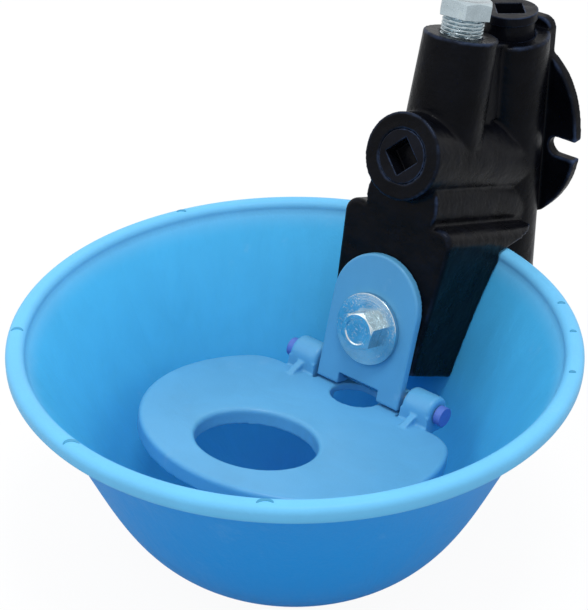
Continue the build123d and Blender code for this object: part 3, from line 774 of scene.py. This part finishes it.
class DRINKER_OT_plugs(bpy.types.Operator):
    """Two pipe plugs with square sockets and their seals"""
    bl_idname = "drinker.plugs"
    bl_label = "Plugs"

    def execute(self, context):
        _, colours, _ = settings()
        # The plugs' enamel carries painted edge highlights at 0.4 of full strength.
        coating = black_enamel("plug_coating", shade(colours.enamel, 1.8), 0.00025, 0.4)
        rubber = seal_rubber("seal_rubber", colours.rubber)
        for node in ("inlet_plug", "access_plug"):
            plug = eased_copy(node, node + "_body", 0.4, 3)
            finish_piece(plug, coating, "housing", "black_plug", node)
        dress(rubber, "access_plug_seal", "seat_seal", "valve_disc", "regulator_seal")
        return {"FINISHED"}


# ---------------------------------------------------------------------------------------------
# Hinge: bracket, bolt, pin and paddle
# ---------------------------------------------------------------------------------------------


class DRINKER_OT_bracket(bpy.types.Operator):
    """Hinge bracket with its washer and bolt"""
    bl_idname = "drinker.bracket"
    bl_label = "Hinge bracket"

    def execute(self, context):
        sizes, colours, _ = settings()
        plastic = moulded_plastic("bracket_plastic", shade(colours.paddle, 0.92))
        body = eased_copy("hinge_bracket", "hinge_bracket_body", 0.6, 4)
        finish_piece(body, plastic, "housing", "paddle_plastic", "hinge_bracket")
        place = hood_place()
        centre = place(0.0, 30.2, 0.0)
        zinc = bright_zinc("washer_zinc", shade(colours.plating, 1.1), 0.13, tuple(centre), tuple(place.z))
        bolt_place = Place(centre / MM, place.x, place.z)
        washer = flat_washer("bracket_washer_body", bolt_place, 6.05, 18.3, 7.5, 10.5)
        finish_piece(smooth(washer), zinc, "housing", "bracket_washer_zinc", "bracket_washer")
        head = hexagon_head("head", bolt_place, sizes.bolt_across, 10.5, 18.4, sizes.bolt_turn, 0.35)
        shank = threaded_rod("shank", bolt_place, 5.95, 0.9, 1.75, -8.4, 10.6)
        bolt = joined("bracket_bolt_body", [head, shank])
        bolt_zinc = bright_zinc("bolt_zinc", shade(colours.plating, 1.15), 0.12)
        finish_piece(smooth(bolt, 25), bolt_zinc, "housing", "zinc_steel", "bracket_bolt")
        return {"FINISHED"}


class DRINKER_OT_pin(bpy.types.Operator):
    """Hinge pin and the caps on its ends"""
    bl_idname = "drinker.pin"
    bl_label = "Hinge pin"

    def execute(self, context):
        _, colours, _ = settings()
        dress(drawn_steel("pin_steel", STEEL), "hinge_pin")
        plastic = moulded_plastic("cap_plastic", colours.pin_end, 0.38)
        caps = eased_copy("hinge_pin_caps", "hinge_pin_cap_bodies", 0.25, 4)
        finish_piece(caps, plastic, "housing", "cap_plastic", "hinge_pin_caps")
        return {"FINISHED"}


class DRINKER_OT_paddle(bpy.types.Operator):
    """Paddle, its moulded edges eased"""
    bl_idname = "drinker.paddle"
    bl_label = "Paddle"

    def execute(self, context):
        sizes, colours, _ = settings()
        plastic = moulded_plastic("paddle_plastic", colours.paddle)
        body = eased_copy("paddle", "paddle_body", sizes.moulded_voxel, sizes.moulded_rounds)
        finish_piece(body, plastic, "paddle", "paddle_plastic", "paddle")
        return {"FINISHED"}


# ---------------------------------------------------------------------------------------------
# Valve
# ---------------------------------------------------------------------------------------------


class DRINKER_OT_regulator(bpy.types.Operator):
    """Regulator screw with its hexagon and thread"""
    bl_idname = "drinker.regulator"
    bl_label = "Regulator screw"

    def execute(self, context):
        sizes, colours, _ = settings()
        place = valve_place()
        zinc = bright_zinc("regulator_zinc", colours.plating, 0.20)
        head = hexagon_head("head", place, sizes.regulator_across, 9.0, 17.6, sizes.regulator_turn, 0.3)
        thread = threaded_rod("thread", place, 10.43, 0.8, sizes.pipe_pitch, -24.0, 9.1, 72)
        screw = joined("regulator_screw_body", [head, thread])
        finish_piece(smooth(screw, 25), zinc, "regulator", "zinc_steel", "regulator_screw")
        return {"FINISHED"}


class DRINKER_OT_valve(bpy.types.Operator):
    """Seat, stem, nut, guide and foot of the valve"""
    bl_idname = "drinker.valve"
    bl_label = "Valve"

    def execute(self, context):
        _, colours, _ = settings()
        brass = turned_brass("turned_brass", colours.brass)
        dress(brass, "valve_seat", "valve_stem", "disc_nut", "stem_guide")
        dress(moulded_plastic("foot_plastic", colours.pin_end), "stem_foot")
        return {"FINISHED"}


class DRINKER_OT_spring(bpy.types.Operator):
    """Return spring of drawn steel wire, its coils as the solid has them"""
    bl_idname = "drinker.spring"
    bl_label = "Return spring"

    def execute(self, context):
        wire = merged_copy("return_spring", "return_spring_wire")
        points = mesh_points(wire.data)
        up = np.array(valve_place().z)
        along = points @ up
        steel = drawn_steel("spring_wire", STEEL)
        finish_piece(smooth(wire, 40), steel, "housing", "stainless_pin", "return_spring")
        tuple(points[along.argmax()])
        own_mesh(wire)
        return {"FINISHED"}


class DRINKER_OT_strainer(bpy.types.Operator):
    """Slotted strainer in the cross bore"""
    bl_idname = "drinker.strainer"
    bl_label = "Strainer"

    def execute(self, context):
        dress(moulded_plastic("strainer_plastic", srgb(222, 222, 214)), "strainer")
        return {"FINISHED"}


class DRINKER_OT_bowl_screws(bpy.types.Operator):
    """Hexagon screws and washers behind the bowl"""
    bl_idname = "drinker.bowl_screws"
    bl_label = "Bowl screws"

    def execute(self, context):
        sizes, colours, _ = settings()
        zinc = bright_zinc("screw_zinc", colours.plating, 0.28)
        screws, washers = [], []
        for side in (-1, 1):
            place = bowl_screw_place(side)
            washers.append(flat_washer(f"washer_{side}", place, 4.05, 8.5, 2.2, 3.8, 0.3))
            screws.append(hexagon_head(f"head_{side}", place, 13.0, 3.8, 9.1, 20.0 * side, 0.25))
            screws.append(threaded_rod(f"shank_{side}", place, 3.98, 0.65, sizes.screw_pitch, -16.2, 3.9, 40))
        screws = joined("bowl_screw_bodies", screws)
        finish_piece(smooth(screws, 25), zinc, "housing", "zinc_steel", "bowl_screws")
        washers = joined("bowl_screw_washer_bodies", washers)
        finish_piece(smooth(washers), zinc, "housing", "zinc_steel", "bowl_screw_washers")
        return {"FINISHED"}


# ---------------------------------------------------------------------------------------------
# Stage
# ---------------------------------------------------------------------------------------------


# Floor, lamps and camera: places and lengths in metres, focal length in millimetres, angles in degrees
FLOOR_HALF = 6.0
MIDDLE = (0.0, -0.17, -0.05)
KEY_PLACE, KEY_SIZE = (0.3, -0.3, 1.8), 0.6
FILL_PLACE, FILL_SIZE = (-1.0, -1.3, 1.1), 1.3
VIEW_TARGET = (-0.01339, -0.17105, -0.03437)
VIEW_AZIMUTH, VIEW_HEIGHT, VIEW_ROLL = 40.76, 31.65, -0.01
VIEW_DISTANCE, VIEW_FOCAL = 0.8163, 100.53


def aimed(obj, target):
    """Turns an object's -Z towards a point."""
    aim = Vector(target) - obj.location
    obj.rotation_euler = aim.to_track_quat("-Z", "Y").to_euler()


def soft_lamp(name, place, target, size, power):
    """A round lamp aimed at a point. Size in metres, power in watts."""
    lamp = bpy.data.lights.new(name, "AREA")
    lamp.shape, lamp.size, lamp.energy = "DISK", size, power
    obj = bpy.data.objects.new(name, lamp)
    obj.location = place
    bpy.context.scene.collection.objects.link(obj)
    aimed(obj, target)


def white_world(strength):
    """White surroundings: full white where seen directly, in gloss or through glass, and as light
    strongest from above, fading to two fifths at the horizon."""
    world = bpy.data.worlds.new("surroundings")
    bpy.context.scene.world = world
    world.use_nodes = True
    tree = world.node_tree
    background = tree.nodes["Background"]
    background.inputs["Color"].default_value = (1, 1, 1, 1)
    path = tree.nodes.new("ShaderNodeLightPath")
    seen = tree.nodes.new("ShaderNodeMath")
    seen.operation, seen.use_clamp = "ADD", True
    clear = tree.nodes.new("ShaderNodeMath")
    clear.operation = "ADD"
    tree.links.new(path.outputs["Is Glossy Ray"], clear.inputs[0])
    tree.links.new(path.outputs["Is Transmission Ray"], clear.inputs[1])
    tree.links.new(path.outputs["Is Camera Ray"], seen.inputs[0])
    tree.links.new(clear.outputs[0], seen.inputs[1])
    direction = tree.nodes.new("ShaderNodeTexCoord")
    split = tree.nodes.new("ShaderNodeSeparateXYZ")
    tree.links.new(direction.outputs["Generated"], split.inputs[0])
    light = tree.nodes.new("ShaderNodeMapRange")
    levels = {"From Min": -0.1, "From Max": 0.8, "To Min": 0.4 * strength, "To Max": strength}
    for socket, value in levels.items():
        light.inputs[socket].default_value = value
    tree.links.new(split.outputs["Z"], light.inputs["Value"])
    level = tree.nodes.new("ShaderNodeMix")
    level.inputs[3].default_value = 1.0
    tree.links.new(seen.outputs[0], level.inputs[0])
    tree.links.new(light.outputs[0], level.inputs[2])
    tree.links.new(level.outputs[0], background.inputs["Strength"])


def floor_material():
    """Pale floor: plain white to the eye, dimmed only by the object's own shadow."""
    finish = Finish("pale_floor")
    tree = finish.tree
    finish.set(Base_Color=(0.60, 0.61, 0.62), Roughness=0.9, Specular_IOR_Level=0.1)
    grain = finish.noise(30.0, 3.0, 0.5)
    finish.set(Normal=finish.bump(grain, 0.0002))
    glow = tree.nodes.new("ShaderNodeEmission")
    glow.inputs["Strength"].default_value = 1.04
    glow.inputs["Color"].default_value = (1, 1, 1, 1)
    path = tree.nodes.new("ShaderNodeLightPath")
    share = tree.nodes.new("ShaderNodeMath")
    share.operation, share.inputs[1].default_value = "MULTIPLY", 0.9
    tree.links.new(path.outputs["Is Camera Ray"], share.inputs[0])
    blend = tree.nodes.new("ShaderNodeMixShader")
    tree.links.new(share.outputs[0], blend.inputs[0])
    tree.links.new(finish.shader.outputs[0], blend.inputs[1])
    tree.links.new(glow.outputs[0], blend.inputs[2])
    tree.links.new(blend.outputs[0], tree.nodes["Material Output"].inputs["Surface"])
    return finish.material


def camera_at(target, back, right, distance, focal, roll):
    """A camera this far back from its target along a direction, its x turned by the roll."""
    target, back, right = Vector(target), Vector(back).normalized(), Vector(right).normalized()
    up = back.cross(right)
    turn = math.radians(roll)
    right, up = right * math.cos(turn) + up * math.sin(turn), up * math.cos(turn) - right * math.sin(turn)
    data = bpy.data.cameras.new("view")
    data.sensor_fit, data.sensor_height, data.sensor_width = "VERTICAL", 36.0, 36.0
    data.lens = focal
    data.clip_start, data.clip_end = 0.01, 50.0
    camera = bpy.data.objects.new("view", data)
    bpy.context.scene.collection.objects.link(camera)
    rows = ((right.x, up.x, back.x), (right.y, up.y, back.y), (right.z, up.z, back.z))
    camera.matrix_world = Matrix.Translation(target + back * distance) @ Matrix(rows).to_4x4()
    bpy.context.scene.camera = camera


class DRINKER_OT_stage(bpy.types.Operator):
    """Pale floor, white surroundings, soft lamps and the camera"""
    bl_idname = "drinker.stage"
    bl_label = "Stage"

    def execute(self, context):
        _, _, stage = settings()
        low = CAD_BOX[0].z
        corners = [(x * FLOOR_HALF, y * FLOOR_HALF, low) for x, y in ((-1, -1), (1, -1), (1, 1), (-1, 1))]
        mesh = bpy.data.meshes.new("floor")
        mesh.from_pydata(corners, [], [(0, 1, 2, 3)])
        floor = bpy.data.objects.new("floor", mesh)
        context.scene.collection.objects.link(floor)
        mesh.materials.append(floor_material())
        white_world(stage.sky)
        soft_lamp("key", KEY_PLACE, MIDDLE, KEY_SIZE, stage.key_power)
        soft_lamp("fill", FILL_PLACE, MIDDLE, FILL_SIZE, stage.fill_power)
        azimuth, height = math.radians(VIEW_AZIMUTH), math.radians(VIEW_HEIGHT)
        back = (math.sin(azimuth) * math.cos(height), -math.cos(azimuth) * math.cos(height), math.sin(height))
        right = (math.cos(azimuth), math.sin(azimuth), 0.0)
        camera_at(VIEW_TARGET, back, right, VIEW_DISTANCE, VIEW_FOCAL, VIEW_ROLL)
        context.scene.view_settings.view_transform = "Standard"
        return {"FINISHED"}


# ---------------------------------------------------------------------------------------------
# Add-on
# ---------------------------------------------------------------------------------------------

STEPS = ("bowl", "casting", "plugs", "bracket", "pin", "paddle", "regulator", "valve", "spring", "strainer",
         "bowl_screws", "stage")


class DRINKER_PT_panel(bpy.types.Panel):
    """Lists the pieces of the drinking bowl"""
    bl_label = "Drinking bowl"
    bl_idname = "DRINKER_PT_panel"
    bl_space_type = "VIEW_3D"
    bl_region_type = "UI"
    bl_category = "Drinker"

    def draw(self, context):
        for step in STEPS:
            self.layout.operator(f"drinker.{step}")
        for group in settings():
            column = self.layout.column()
            for name in group.__annotations__:
                column.prop(group, name)


CLASSES = (
    DrinkerSizes, DrinkerColours, DrinkerStage, DRINKER_OT_bowl, DRINKER_OT_casting, DRINKER_OT_plugs,
    DRINKER_OT_bracket, DRINKER_OT_pin, DRINKER_OT_paddle, DRINKER_OT_regulator, DRINKER_OT_valve,
    DRINKER_OT_spring, DRINKER_OT_strainer, DRINKER_OT_bowl_screws, DRINKER_OT_stage, DRINKER_PT_panel,
)


def register():
    for cls in CLASSES:
        bpy.utils.register_class(cls)
    bpy.types.Scene.drinker_sizes = PointerProperty(type=DrinkerSizes)
    bpy.types.Scene.drinker_colours = PointerProperty(type=DrinkerColours)
    bpy.types.Scene.drinker_stage = PointerProperty(type=DrinkerStage)


def unregister():
    del bpy.types.Scene.drinker_stage
    del bpy.types.Scene.drinker_colours
    del bpy.types.Scene.drinker_sizes
    for cls in reversed(CLASSES):
        bpy.utils.unregister_class(cls)


def main():
    """Builds every piece and the stage."""
    register()
    for step in STEPS:
        getattr(bpy.ops.drinker, step)()


if __name__ == "__main__":
    main()
